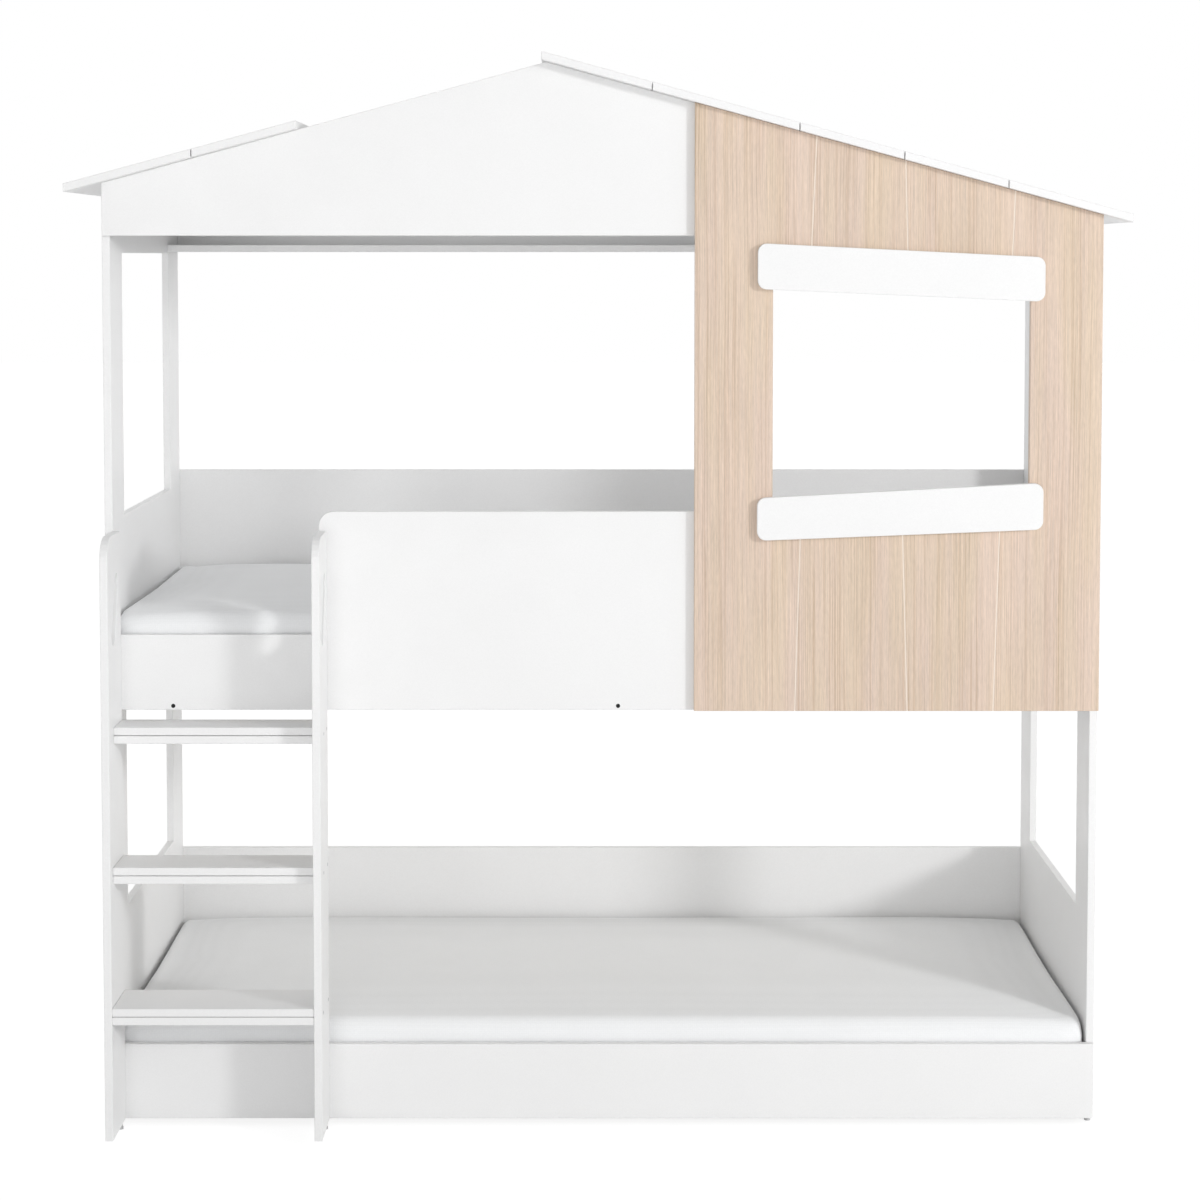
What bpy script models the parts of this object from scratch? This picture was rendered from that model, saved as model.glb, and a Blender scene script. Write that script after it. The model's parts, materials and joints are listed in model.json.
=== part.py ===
"""House bunk bed: melamine side frames, gables and a boarded roof, a wood-grain front with a window,
a fixed ladder and two loose mattresses on slats. Metres, +Z up, +X to the right seen from the front."""

from math import cos, pi, radians, sin, tan

import bmesh
import bpy
from mathutils import Vector

# Boards and fits
BOARD = 0.016                 # thickness of every melamine board
GAP = 0.0003                  # left between pieces that touch
EASE = 0.001                  # eased edge of a board
OVERRUN = 0.004               # how far a cutter runs past the face that it opens

# Mattresses, which set the size of the frame
MATTRESS_LENGTH = 2.0
MATTRESS_WIDTH = 0.9
MATTRESS_HEIGHT = 0.14
MATTRESS_CORNER = 0.045       # radius of a corner seen from above
MATTRESS_EDGE = 0.030         # radius of the top edge
MATTRESS_FOOT_EDGE = 0.02     # radius of the bottom edge
MATTRESS_CROWN = 0.008        # how far the middle of the top stands above its edge
MATTRESS_WAIST = 0.005        # how far a side is drawn in between the corners
MATTRESS_END_PLAY = 0.0025
MATTRESS_SIDE_PLAY = 0.003
CROWN_SHARES = (0.22, 0.45, 0.7)   # of the way from the top edge to the middle, where the crown bends

# Side frames, one cut board each
FOOT_HEIGHT = 0.015           # the glides lift every board this far off the floor
UPPER_LEVEL = 0.867           # underside of the upper bed
FRONT_POST = 0.142
BACK_POST = 0.137
LOWER_SIDE_HEIGHT = 0.412
UPPER_SIDE_HEIGHT = 0.387
UPPER_OPENING_HEIGHT = 0.548

# Boards across the front and the back
FRONT_END_INSET = 0.003       # a front board ends this far inside the side frame's outer face
LOWER_FRONT_HEIGHT = 0.156
LOWER_BACK_HEIGHT = 0.367
UPPER_BACK_HEIGHT = 0.422
RAIL_HEIGHT = 0.155           # the low stretch that one climbs over
GUARD_HEIGHT = 0.408
GUARD_CORNER = 0.030
TOP_RAIL_WIDTH = 0.158
TOP_RAIL_RISE = 0.003         # top rail above the side frame's upper opening

# Gables and roof
GABLE_LIFT = 0.035            # from the side frames' upper openings up to the gable's bottom edge
GABLE_LEFT_HEIGHT = 0.107     # height of the gable at its left end
GABLE_RIGHT_HEIGHT = 0.0422
LEFT_PITCH = radians(15.1)
RIGHT_PITCH = radians(15.3)
ROOF_OVERHANG = 0.035         # past the front and the back boards
LEFT_EAVE = 0.068             # past the side frame's outer face
RIGHT_EAVE = 0.054
RIDGE_LAP = 0.010             # how far the right slope reaches past the gable's peak
ROOF_JOINT = 0.002            # between neighbouring roof boards
RIGHT_JOINT_SHARES = (0, 0.186, 0.435, 0.612, 0.788, 1)   # of the slope, from the ridge
LEFT_JOINT_SHARES = (0, 0.264, 0.482)                     # of the slope, from the eave

# Wood-grain panel, its window and the two planks on it
WOOD_WIDTH = 0.8275
WINDOW_WIDTH = 0.522
WINDOW_HEIGHT = 0.487
WINDOW_MARGIN = 0.1465        # from the window to the panel's right end
GROOVE_WIDTH = 0.003
GROOVE_DEPTH = 0.0008
UPPER_GROOVE_TOP_SHARES = (0.298, 0.515, 0.784)           # of the panel's width, from its left end
UPPER_GROOVE_FOOT_SHARES = (0.283, 0.523, 0.776)
LOWER_GROOVE_TOP_SHARES = (0.263, 0.511, 0.753)
LOWER_GROOVE_FOOT_SHARES = (0.249, 0.527, 0.739)
PLANK_LENGTH = 0.581
PLANK_LAP = 0.032             # past the window's left side
PLANK_TILT = radians(2.66)
PLANK_CORNER = 0.018
UPPER_PLANK_LEFT_WIDTH = 0.093
UPPER_PLANK_RIGHT_WIDTH = 0.090
LOWER_PLANK_LEFT_WIDTH = 0.087
LOWER_PLANK_RIGHT_WIDTH = 0.095

# Ladder
LADDER_INSET = 0.015          # from the front boards' left end to the left stile
LADDER_WIDTH = 0.4055         # between the stiles
STILE_DEPTH = 0.150
STILE_RISE = 0.368            # above the underside of the upper bed
STILE_CORNER = 0.050
TREAD_PITCH = 0.281
TREAD_JOINT = 0.0012          # between a tread's two boards
TOP_TREAD_DROP = 0.020        # from the upper bed's underside down to the top tread
BOTTOM_TREAD_SETBACK = 0.002  # from the stile's front edge
MIDDLE_TREAD_SETBACK = 0.030
TOP_TREAD_SETBACK = 0.052
SLOT_LENGTH = 0.150
SLOT_WIDTH = 0.042
SLOT_TILT = radians(21)
SLOT_DROP = 0.152             # from the stile's top to the middle of the hand slot
SLOT_SETBACK = 0.082          # from the stile's front edge to the middle of the hand slot

# Slatted bases
CROSS_BAR_WIDTH = 0.070
LEFT_BAR_INSET = 0.1365       # from the front board's end to the bar's middle
RIGHT_BAR_INSET = 0.0705
BATTEN_HEIGHT = 0.038
BATTEN_DEPTH = 0.020
LOWER_BATTEN_LEVEL = 0.036
SLAT_COUNT = 14
SLAT_WIDTH = 0.060
SLAT_THICKNESS = 0.015
SLAT_END_MARGIN = 0.030
SLAT_PLAY = 0.003             # at each end of a slat
TAPE_WIDTH = 0.025
TAPE_THICKNESS = 0.0015
TAPE_DEPTH = 0.001            # below the slats' top
TAPE_INSET = 0.180            # from the slats' ends to the tape's middle

# Fasteners and glides
SCREW_HEAD_RADIUS = 0.0038
SCREW_HEAD_HEIGHT = 0.0025
SCREW_SHANK_RADIUS = 0.0022
SCREW_LENGTH = 0.045
SCREW_BACK_INSET = 0.014      # from the tread's back edge to the rear screw
FRONT_SCREW_SHARE = 0.765     # of the tread's depth
BOLT_HEAD_RADIUS = 0.0042
BOLT_HEAD_HEIGHT = 0.004
BOLT_SHANK_RADIUS = 0.003
BOLT_LENGTH = 0.060
SOCKET_SHARE = 0.55           # of the head's radius, and of its height
GLIDE_BASE_RADIUS = 0.0065
GLIDE_NECK_RADIUS = 0.0052
GLIDE_BASE_HEIGHT = 0.005
GLIDE_INSET = 0.022           # from the side frame's front and back edges, and a stile's back edge

ARC_STEPS = 6                 # in a quarter of a rounded corner
TURN_STEPS = 16               # round a screw, a bolt or a glide
LONG_SIDE_STEPS = 10          # along a mattress's long side
SHORT_SIDE_STEPS = 6
FOOT_EDGE_STEPS = 3           # over a mattress's bottom edge
TOP_EDGE_STEPS = 4

# Worked out from the sizes above
INNER_HALF = MATTRESS_LENGTH / 2 + MATTRESS_END_PLAY
OUTER_HALF = INNER_HALF + BOARD
FRONT_HALF = OUTER_HALF - FRONT_END_INSET
SIDE_FRONT = BOARD
SIDE_BACK = BOARD + MATTRESS_WIDTH + 2 * MATTRESS_SIDE_PLAY
REAR_FACE = SIDE_BACK + BOARD
GUARD_TOP = UPPER_LEVEL + GUARD_HEIGHT
UPPER_SILL = UPPER_LEVEL + UPPER_SIDE_HEIGHT
UPPER_OPENING_TOP = UPPER_SILL + UPPER_OPENING_HEIGHT
GABLE_BOTTOM = UPPER_OPENING_TOP + GABLE_LIFT
TOP_RAIL_Z = UPPER_OPENING_TOP + TOP_RAIL_RISE
GABLE_LEFT = GABLE_BOTTOM + GABLE_LEFT_HEIGHT
GABLE_RIGHT = GABLE_BOTTOM + GABLE_RIGHT_HEIGHT
LEFT_SLOPE = tan(LEFT_PITCH)
RIGHT_SLOPE = tan(RIGHT_PITCH)
PEAK_X = (GABLE_RIGHT - GABLE_LEFT + FRONT_HALF * (RIGHT_SLOPE - LEFT_SLOPE)) / (LEFT_SLOPE + RIGHT_SLOPE)
PEAK_Z = GABLE_LEFT + LEFT_SLOPE * (FRONT_HALF + PEAK_X)
LEFT_EAVE_X = -OUTER_HALF - LEFT_EAVE
RIGHT_EAVE_X = OUTER_HALF + RIGHT_EAVE
WOOD_LEFT = FRONT_HALF - WOOD_WIDTH
WINDOW_RIGHT = FRONT_HALF - WINDOW_MARGIN
WINDOW_LEFT = WINDOW_RIGHT - WINDOW_WIDTH
WINDOW_TOP = GUARD_TOP + WINDOW_HEIGHT
STILE_TOP = UPPER_LEVEL + STILE_RISE
LEFT_STILE_X = -FRONT_HALF + LADDER_INSET
LADDER_LEFT = LEFT_STILE_X + BOARD
LADDER_RIGHT = LADDER_LEFT + LADDER_WIDTH
TREAD_SETBACKS = (BOTTOM_TREAD_SETBACK, MIDDLE_TREAD_SETBACK, TOP_TREAD_SETBACK)
TOP_TREAD_Z = UPPER_LEVEL - TOP_TREAD_DROP
UPPER_BATTEN_LEVEL = UPPER_LEVEL + BOARD + GAP
BAR_XS = (
    -FRONT_HALF + LEFT_BAR_INSET,
    (LEFT_BAR_INSET - RIGHT_BAR_INSET) / 2,
    FRONT_HALF - RIGHT_BAR_INSET,
)


def linear(code):
    """The linear colour of an sRGB hex code, for a material's socket."""
    values = [int(code[i : i + 2], 16) / 255 for i in (0, 2, 4)]
    return [v / 12.92 if v <= 0.04045 else ((v + 0.055) / 1.055) ** 2.4 for v in values] + [1]


def material(name, code, roughness, metallic=0):
    made = bpy.data.materials.new(name)
    made.use_nodes = True
    shader = made.node_tree.nodes["Principled BSDF"]
    shader.inputs["Base Color"].default_value = linear(code)
    shader.inputs["Roughness"].default_value = roughness
    shader.inputs["Metallic"].default_value = metallic
    return made


def new_object(name, bm, look, place=(0, 0, 0), shown=True):
    """Closes a bmesh into an object that stands in the bed's own frame."""
    mesh = bpy.data.meshes.new(name)
    bm.to_mesh(mesh)
    bm.free()
    obj = bpy.data.objects.new(name, mesh)
    bpy.context.scene.collection.objects.link(obj)
    obj.parent = BED
    obj.location = place
    if shown:
        mesh.materials.append(look)
    else:
        obj.hide_render = True
        obj.display_type = "WIRE"
    return obj


def arc(corner, before, after, radius):
    """The points that round a corner between its neighbours, at most half way to each."""
    corner, before, after = Vector(corner), Vector(before), Vector(after)
    back, ahead = before - corner, after - corner
    half = back.angle(ahead) / 2
    reach = min(radius / tan(half), back.length / 2, ahead.length / 2)
    radius = reach * tan(half)
    back.normalize()
    ahead.normalize()
    centre = corner + (back + ahead).normalized() * radius / sin(half)
    start, end = corner + back * reach - centre, corner + ahead * reach - centre
    turn = start.angle(end)
    steps = max(2, round(ARC_STEPS * turn / (pi / 2)))
    return [
        centre + (start * sin(turn * (1 - k / steps)) + end * sin(turn * k / steps)) / sin(turn)
        for k in range(steps + 1)
    ]


def outline(points, radii=None):
    """A closed outline with some of its corners rounded."""
    radii = radii or [0] * len(points)
    made = []
    for i, (point, radius) in enumerate(zip(points, radii)):
        if radius:
            made += arc(point, points[i - 1], points[(i + 1) % len(points)], radius)
        else:
            made.append(Vector(point))
    return made


def rectangle(low, high):
    return outline([low, (high[0], low[1]), high, (low[0], high[1])])


def face_out(bm):
    """Points every face of one or more closed bodies outwards."""
    bmesh.ops.recalc_face_normals(bm, faces=bm.faces)
    if bm.calc_volume(signed=True) < 0:
        bmesh.ops.reverse_faces(bm, faces=bm.faces)


def turned_to(bm, plane):
    """Turns a board that was drawn flat so that it stands in its plane."""
    if plane == "XZ":
        for vert in bm.verts:
            vert.co = Vector((vert.co.x, vert.co.z, vert.co.y))
    if plane == "YZ":
        for vert in bm.verts:
            vert.co = Vector((vert.co.z, vert.co.x, vert.co.y))


def board(name, plane, loops, at, look, thickness=BOARD, ease=EASE):
    """A flat board with eased edges: an outline, then its holes, drawn in a plane and given a thickness.
    Its near face lies at the given place on the axis across that plane."""
    bm = bmesh.new()
    edges = []
    for loop in loops:
        verts = [bm.verts.new((point[0], point[1], 0)) for point in loop]
        edges += [bm.edges.new((verts[i - 1], verts[i])) for i in range(len(verts))]
    filled = bmesh.ops.triangle_fill(bm, use_beauty=True, edges=edges)
    faces = [item for item in filled["geom"] if isinstance(item, bmesh.types.BMFace)]
    raised = bmesh.ops.extrude_face_region(bm, geom=faces)
    top = [item for item in raised["geom"] if isinstance(item, bmesh.types.BMVert)]
    bmesh.ops.translate(bm, vec=(0, 0, thickness), verts=top)
    face_out(bm)
    if ease:
        rims = [e for e in bm.edges if e.calc_face_angle(0) > pi / 4 and e.verts[0].co.z == e.verts[1].co.z]
        bmesh.ops.bevel(
            bm, geom=rims, offset=ease, offset_type="OFFSET", segments=1,
            profile=0.5, affect="EDGES", material=-1,
        )
    turned_to(bm, plane)
    face_out(bm)
    across = {"XY": 2, "XZ": 1, "YZ": 0}[plane]
    place = [0, 0, 0]
    place[across] = at
    return new_object(name, bm, look, place)


def add_box(bm, low, high):
    """One closed box in a bmesh, between two corners."""
    made = bmesh.ops.create_cube(bm, size=1)["verts"]
    size = [h - l for l, h in zip(low, high)]
    middle = [(h + l) / 2 for l, h in zip(low, high)]
    bmesh.ops.scale(bm, vec=size, verts=made)
    bmesh.ops.translate(bm, vec=middle, verts=made)


def add_turned(bm, profile, place, axis):
    """One closed turned body in a bmesh. The profile leaves the axis and comes back to it,
    as (distance along the axis, radius)."""
    along_axis = Vector((axis == "X", axis == "Y", axis == "Z"))
    side = Vector((axis != "X", axis == "X", 0))
    other = along_axis.cross(side)
    rings = []
    for along, radius in profile:
        centre = Vector(place) + along_axis * along
        turns = [2 * pi * k / TURN_STEPS for k in range(TURN_STEPS if radius else 1)]
        rings.append([bm.verts.new(centre + (side * cos(t) + other * sin(t)) * radius) for t in turns])
    for near, far in zip(rings, rings[1:]):
        for k in range(TURN_STEPS):
            round_face = ((near, k), (near, k + 1), (far, k + 1), (far, k))
            corners = [ring[i % len(ring)] for ring, i in round_face]
            bm.faces.new(list(dict.fromkeys(corners)))
    face_out(bm)


def combine(obj, helper, operation):
    modifier = obj.modifiers.new(helper.name, "BOOLEAN")
    modifier.operation = operation
    modifier.solver = "EXACT"
    modifier.object = helper


def cut(obj, cutter):
    """Takes a hidden cutter's shape out of an object."""
    combine(obj, cutter, "DIFFERENCE")


# Frame boards

def side_panel(name, outer_x, top):
    """A side frame: two openings, one over the other, in one board from the floor to the roof."""
    front, back = SIDE_FRONT + GAP, SIDE_BACK - GAP
    low, high = FRONT_POST + SIDE_FRONT, SIDE_BACK - BACK_POST
    board(
        name, "YZ",
        [
            rectangle((front, FOOT_HEIGHT), (back, top)),
            rectangle((low, FOOT_HEIGHT + LOWER_SIDE_HEIGHT), (high, UPPER_LEVEL)),
            rectangle((low, UPPER_SILL), (high, UPPER_OPENING_TOP)),
        ],
        outer_x, WHITE,
    )


def side_panels():
    side_panel("side_panel_left", -OUTER_HALF, GABLE_LEFT - LEFT_SLOPE * FRONT_END_INSET)
    side_panel("side_panel_right", INNER_HALF, GABLE_RIGHT - RIGHT_SLOPE * FRONT_END_INSET)


def gables():
    """The front gable, and the back gable, which reaches down behind the top rail."""
    for name, bottom, place in (("front_gable", GABLE_BOTTOM, 0), ("back_gable", TOP_RAIL_Z, SIDE_BACK)):
        shape = outline([
            (-FRONT_HALF, bottom),
            (FRONT_HALF, bottom),
            (FRONT_HALF, GABLE_RIGHT),
            (PEAK_X, PEAK_Z),
            (-FRONT_HALF, GABLE_LEFT),
        ])
        board(name, "XZ", [shape], place, WHITE)


def guard_panel(bolt_cutter):
    """The upper bed's front in one board: a low rail at the ladder and a high guard beside it."""
    rail_top = UPPER_LEVEL + RAIL_HEIGHT
    shape = outline(
        [
            (-FRONT_HALF, UPPER_LEVEL),
            (FRONT_HALF, UPPER_LEVEL),
            (FRONT_HALF, GUARD_TOP),
            (LADDER_RIGHT, GUARD_TOP),
            (LADDER_RIGHT, rail_top),
            (-FRONT_HALF, rail_top),
        ],
        (0, 0, 0, GUARD_CORNER, 0, 0),
    )
    cut(board("guard_panel", "XZ", [shape], 0, WHITE), bolt_cutter)


def plain_front_and_back_boards():
    low, high = (-FRONT_HALF, FOOT_HEIGHT), (FRONT_HALF, FOOT_HEIGHT + LOWER_FRONT_HEIGHT)
    board("front_board_lower", "XZ", [rectangle(low, high)], 0, WHITE)
    high = (FRONT_HALF, FOOT_HEIGHT + LOWER_BACK_HEIGHT)
    board("back_panel_lower", "XZ", [rectangle(low, high)], SIDE_BACK, WHITE)
    low, high = (-FRONT_HALF, UPPER_LEVEL), (FRONT_HALF, UPPER_LEVEL + UPPER_BACK_HEIGHT)
    board("back_panel_upper", "XZ", [rectangle(low, high)], SIDE_BACK, WHITE)


def top_rail():
    """The flat board that ties the side frames together against the back gable."""
    reach = INNER_HALF - GAP
    back = SIDE_BACK - GAP
    shape = rectangle((-reach, back - TOP_RAIL_WIDTH), (reach, back))
    board("top_rail_back", "XY", [shape], TOP_RAIL_Z, WHITE)


# Roof

def roof_board(name, left, right, height, pitch):
    """A roof board between two plumb ends, whose underside follows a slope."""
    thick = BOARD / cos(pitch)
    shape = outline([
        (left, height(left)),
        (right, height(right)),
        (right, height(right) + thick),
        (left, height(left) + thick),
    ])
    depth = REAR_FACE + 2 * ROOF_OVERHANG
    board(name, "XZ", [shape], -ROOF_OVERHANG, WHITE, thickness=depth)


def roof():
    def left_height(x):
        return PEAK_Z + GAP + LEFT_SLOPE * (x - PEAK_X)

    def right_height(x):
        return PEAK_Z + GAP - RIGHT_SLOPE * (x - PEAK_X)

    start = PEAK_X - RIDGE_LAP
    joints = [start + share * (RIGHT_EAVE_X - start) for share in RIGHT_JOINT_SHARES]
    for i, (left, right) in enumerate(zip(joints, joints[1:])):
        left += ROOF_JOINT if i else 0
        roof_board(f"roof_board_right_{i + 1}", left, right, right_height, RIGHT_PITCH)
    joints = [LEFT_EAVE_X + share * (PEAK_X - LEFT_EAVE_X) for share in LEFT_JOINT_SHARES]
    for i, (left, right) in enumerate(zip(joints, joints[1:])):
        left += ROOF_JOINT if i else 0
        roof_board(f"roof_board_left_{i + 1}", left, right, left_height, LEFT_PITCH)


# Wood-grain front

def groove(bm, top, foot):
    """One slanting groove between two points of the panel's face, as a thin closed bar."""
    half = GROOVE_WIDTH / 2
    front = -GAP - BOARD
    verts = []
    for x, z in (top, foot):
        for side in (-half, half):
            for y in (front - OVERRUN, front + GROOVE_DEPTH):
                verts.append(bm.verts.new((x + side, y, z)))
    bmesh.ops.convex_hull(bm, input=verts)


def wood_front():
    top_left = PEAK_Z - RIGHT_SLOPE * (WOOD_LEFT - PEAK_X)
    panel = board(
        "wood_front_panel", "XZ",
        [
            outline([
                (WOOD_LEFT, UPPER_LEVEL),
                (FRONT_HALF, UPPER_LEVEL),
                (FRONT_HALF, GABLE_RIGHT),
                (WOOD_LEFT, top_left),
            ]),
            rectangle((WINDOW_LEFT, GUARD_TOP), (WINDOW_RIGHT, WINDOW_TOP)),
        ],
        -GAP - BOARD, WOOD,
    )
    bm = bmesh.new()
    for top, foot in zip(UPPER_GROOVE_TOP_SHARES, UPPER_GROOVE_FOOT_SHARES):
        x = WOOD_LEFT + top * WOOD_WIDTH
        z = PEAK_Z - RIGHT_SLOPE * (x - PEAK_X)
        groove(bm, (x, z + OVERRUN), (WOOD_LEFT + foot * WOOD_WIDTH, WINDOW_TOP - OVERRUN))
    for top, foot in zip(LOWER_GROOVE_TOP_SHARES, LOWER_GROOVE_FOOT_SHARES):
        x, foot_x = WOOD_LEFT + top * WOOD_WIDTH, WOOD_LEFT + foot * WOOD_WIDTH
        groove(bm, (x, GUARD_TOP + OVERRUN), (foot_x, UPPER_LEVEL - OVERRUN))
    face_out(bm)
    cut(panel, new_object("groove_cutter", bm, None, shown=False))


def window_plank(name, middle_z, rise, left_width, right_width):
    """A short plank across the window's edge, a little tapered and tilted."""
    left = WINDOW_LEFT - PLANK_LAP
    right = left + PLANK_LENGTH
    left_z, right_z = middle_z - rise / 2, middle_z + rise / 2
    shape = outline(
        [
            (left, left_z - left_width / 2),
            (right, right_z - right_width / 2),
            (right, right_z + right_width / 2),
            (left, left_z + left_width / 2),
        ],
        [PLANK_CORNER] * 4,
    )
    board(name, "XZ", [shape], -2 * (GAP + BOARD), WHITE)


def window_planks():
    rise = PLANK_LENGTH * tan(PLANK_TILT)
    window_plank("window_plank_upper", WINDOW_TOP, -rise, UPPER_PLANK_LEFT_WIDTH, UPPER_PLANK_RIGHT_WIDTH)
    window_plank("window_plank_lower", GUARD_TOP, rise, LOWER_PLANK_LEFT_WIDTH, LOWER_PLANK_RIGHT_WIDTH)


# Ladder

def hand_slot():
    """A slanting round-ended slot, in the stile's own plane."""
    middle = Vector((-STILE_DEPTH + SLOT_SETBACK, STILE_TOP - SLOT_DROP))
    along = Vector((sin(SLOT_TILT), cos(SLOT_TILT))) * (SLOT_LENGTH - SLOT_WIDTH) / 2
    radius = SLOT_WIDTH / 2
    points = []
    for end, facing in ((1, 0), (-1, pi)):
        for k in range(2 * ARC_STEPS + 1):
            angle = facing - SLOT_TILT + pi * k / (2 * ARC_STEPS)
            points.append(middle + along * end + Vector((cos(angle), sin(angle))) * radius)
    return points


def tread_levels():
    """Each tread's top and its front edge's distance from the stiles' back edge."""
    count = len(TREAD_SETBACKS)
    return [
        (TOP_TREAD_Z - (count - 1 - i) * TREAD_PITCH, STILE_DEPTH - setback)
        for i, setback in enumerate(TREAD_SETBACKS)
    ]


def screw_places():
    """Each screw's row on the ladder, its place in that row, and its Y and Z."""
    places = []
    for i, (top, depth) in enumerate(tread_levels()):
        middle = top - BOARD - TREAD_JOINT / 2
        places.append((i + 1, "front", -depth * FRONT_SCREW_SHARE, middle))
        places.append((i + 1, "rear", -SCREW_BACK_INSET, middle))
    return places


def screw_profile(spare=0):
    """Head and shank from the outer face inwards, larger by the spare for a hole."""
    head, shank = SCREW_HEAD_RADIUS + spare, SCREW_SHANK_RADIUS + spare
    start, neck, end = -(OVERRUN if spare else 0), SCREW_HEAD_HEIGHT + spare, SCREW_LENGTH + spare
    return [(start, 0), (start, head), (neck, head), (neck, shank), (end, shank), (end, 0)]


def along_ladder(profile, outer_x):
    """Turns a profile that starts at a stile's outer face towards the treads."""
    inwards = 1 if outer_x < LADDER_LEFT else -1
    return [(inwards * along, radius) for along, radius in profile]


def screw_holes(name, outer_x):
    bm = bmesh.new()
    for _, _, y, z in screw_places():
        add_turned(bm, along_ladder(screw_profile(GAP), outer_x), (outer_x, y, z), "X")
    return new_object(name, bm, None, shown=False)


def ladder():
    left_outer, right_outer = LEFT_STILE_X, LADDER_RIGHT + BOARD
    holes = {
        "left": screw_holes("screw_holes_left", left_outer),
        "right": screw_holes("screw_holes_right", right_outer),
    }
    stile = outline(
        [(-STILE_DEPTH, FOOT_HEIGHT), (-GAP, FOOT_HEIGHT), (-GAP, STILE_TOP), (-STILE_DEPTH, STILE_TOP)],
        (0, 0, 0, STILE_CORNER),
    )
    for side, place in (("left", LEFT_STILE_X), ("right", LADDER_RIGHT)):
        cut(board("ladder_stile_" + side, "YZ", [stile, hand_slot()], place, WHITE), holes[side])
    for i, (top, depth) in enumerate(tread_levels()):
        shape = rectangle((LADDER_LEFT + GAP, -depth), (LADDER_RIGHT - GAP, -GAP))
        for layer, place in (("upper", top - BOARD), ("lower", top - 2 * BOARD - TREAD_JOINT)):
            tread = board(f"tread_{i + 1}_{layer}_board", "XY", [shape], place, WHITE)
            cut(tread, holes["left"])
            cut(tread, holes["right"])
    for side, outer_x in (("left", left_outer), ("right", right_outer)):
        for row, place, y, z in screw_places():
            bm = bmesh.new()
            add_turned(bm, along_ladder(screw_profile(), outer_x), (0, 0, 0), "X")
            new_object(f"ladder_screw_{side}_{row}_{place}", bm, STEEL, (outer_x, y, z))


# Slatted bases and mattresses

def bolt_profile(spare=0):
    """Socket head and shank from the guard's face inwards, larger by the spare for a hole."""
    head, shank = BOLT_HEAD_RADIUS + spare, BOLT_SHANK_RADIUS + spare
    neck, end = BOLT_HEAD_HEIGHT + spare, BOLT_LENGTH + spare
    if spare:
        mouth = [(-OVERRUN, 0), (-OVERRUN, head)]
    else:
        socket, floor = head * SOCKET_SHARE, neck * SOCKET_SHARE
        mouth = [(floor, 0), (floor, socket), (0, socket), (0, head)]
    return mouth + [(neck, head), (neck, shank), (end, shank), (end, 0)]


def bolt_holes():
    """One hidden cutter for the bolt holes of the guard panel and of the cross bars."""
    bm = bmesh.new()
    for x in BAR_XS:
        add_turned(bm, bolt_profile(GAP), (x, 0, UPPER_LEVEL + BOARD / 2), "Y")
    return new_object("bolt_holes", bm, None, shown=False)


def cross_bars(bolt_cutter):
    """The flat bars that tie the upper bed's front to its back, each on a bolt."""
    half = CROSS_BAR_WIDTH / 2
    for i, x in enumerate(BAR_XS):
        shape = rectangle((x - half, SIDE_FRONT + GAP), (x + half, SIDE_BACK - GAP))
        cut(board(f"cross_bar_{i + 1}", "XY", [shape], UPPER_LEVEL, WHITE), bolt_cutter)
        bm = bmesh.new()
        add_turned(bm, bolt_profile(), (0, 0, 0), "Y")
        new_object(f"rail_bolt_{i + 1}", bm, BLACK, (x, 0, UPPER_LEVEL + BOARD / 2))


def battens():
    reach = INNER_HALF - GAP
    front, back = SIDE_FRONT + GAP, SIDE_BACK - GAP - BATTEN_DEPTH
    for bed, level in (("upper", UPPER_BATTEN_LEVEL), ("lower", LOWER_BATTEN_LEVEL)):
        for side, y in (("front", front), ("back", back)):
            shape = rectangle((-reach, y), (reach, y + BATTEN_DEPTH))
            board(f"batten_{bed}_{side}", "XY", [shape], level, PINE, thickness=BATTEN_HEIGHT)


def slat_roll(name, level):
    """Slats lying on the battens, held at an even spacing by two woven tapes."""
    front, back = SIDE_FRONT + SLAT_PLAY, SIDE_BACK - SLAT_PLAY
    first = -MATTRESS_LENGTH / 2 + SLAT_END_MARGIN
    pitch = (-2 * first - SLAT_WIDTH) / (SLAT_COUNT - 1)
    slats = bmesh.new()
    for i in range(SLAT_COUNT):
        left = first + i * pitch
        add_box(slats, (left, front, 0), (left + SLAT_WIDTH, back, SLAT_THICKNESS))
    tapes = bmesh.new()
    tape_top = SLAT_THICKNESS - TAPE_DEPTH
    reach = -first - SLAT_WIDTH / 2
    for middle in (front + TAPE_INSET, back - TAPE_INSET):
        low = (-reach, middle - TAPE_WIDTH / 2, tape_top - TAPE_THICKNESS)
        add_box(tapes, low, (reach, middle + TAPE_WIDTH / 2, tape_top))
    roll = new_object(name, slats, PINE, (0, 0, level))
    combine(roll, new_object(name + "_tapes", tapes, None, (0, 0, level), shown=False), "UNION")


def mattress_plan():
    """The outline of a mattress from above: round corners, and sides drawn in between them."""
    half_x, half_y = MATTRESS_LENGTH / 2, MATTRESS_WIDTH / 2
    corner = MATTRESS_CORNER
    points = []
    for facing in (1, -1):
        for along, half_along, half_across, steps in (
            (Vector((facing, 0)), half_x, half_y, LONG_SIDE_STEPS),
            (Vector((0, facing)), half_y, half_x, SHORT_SIDE_STEPS),
        ):
            out = Vector((along.y, -along.x))
            for k in range(steps):
                share = k / steps
                run = (2 * share - 1) * (half_along - corner)
                drawn = MATTRESS_WAIST * sin(pi * share) ** 2
                points.append(along * run + out * (half_across - drawn))
            centre = along * (half_along - corner) + out * (half_across - corner)
            for k in range(ARC_STEPS):
                turn = pi / 2 * k / ARC_STEPS
                points.append(centre + (out * cos(turn) + along * sin(turn)) * corner)
    return points


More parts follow.
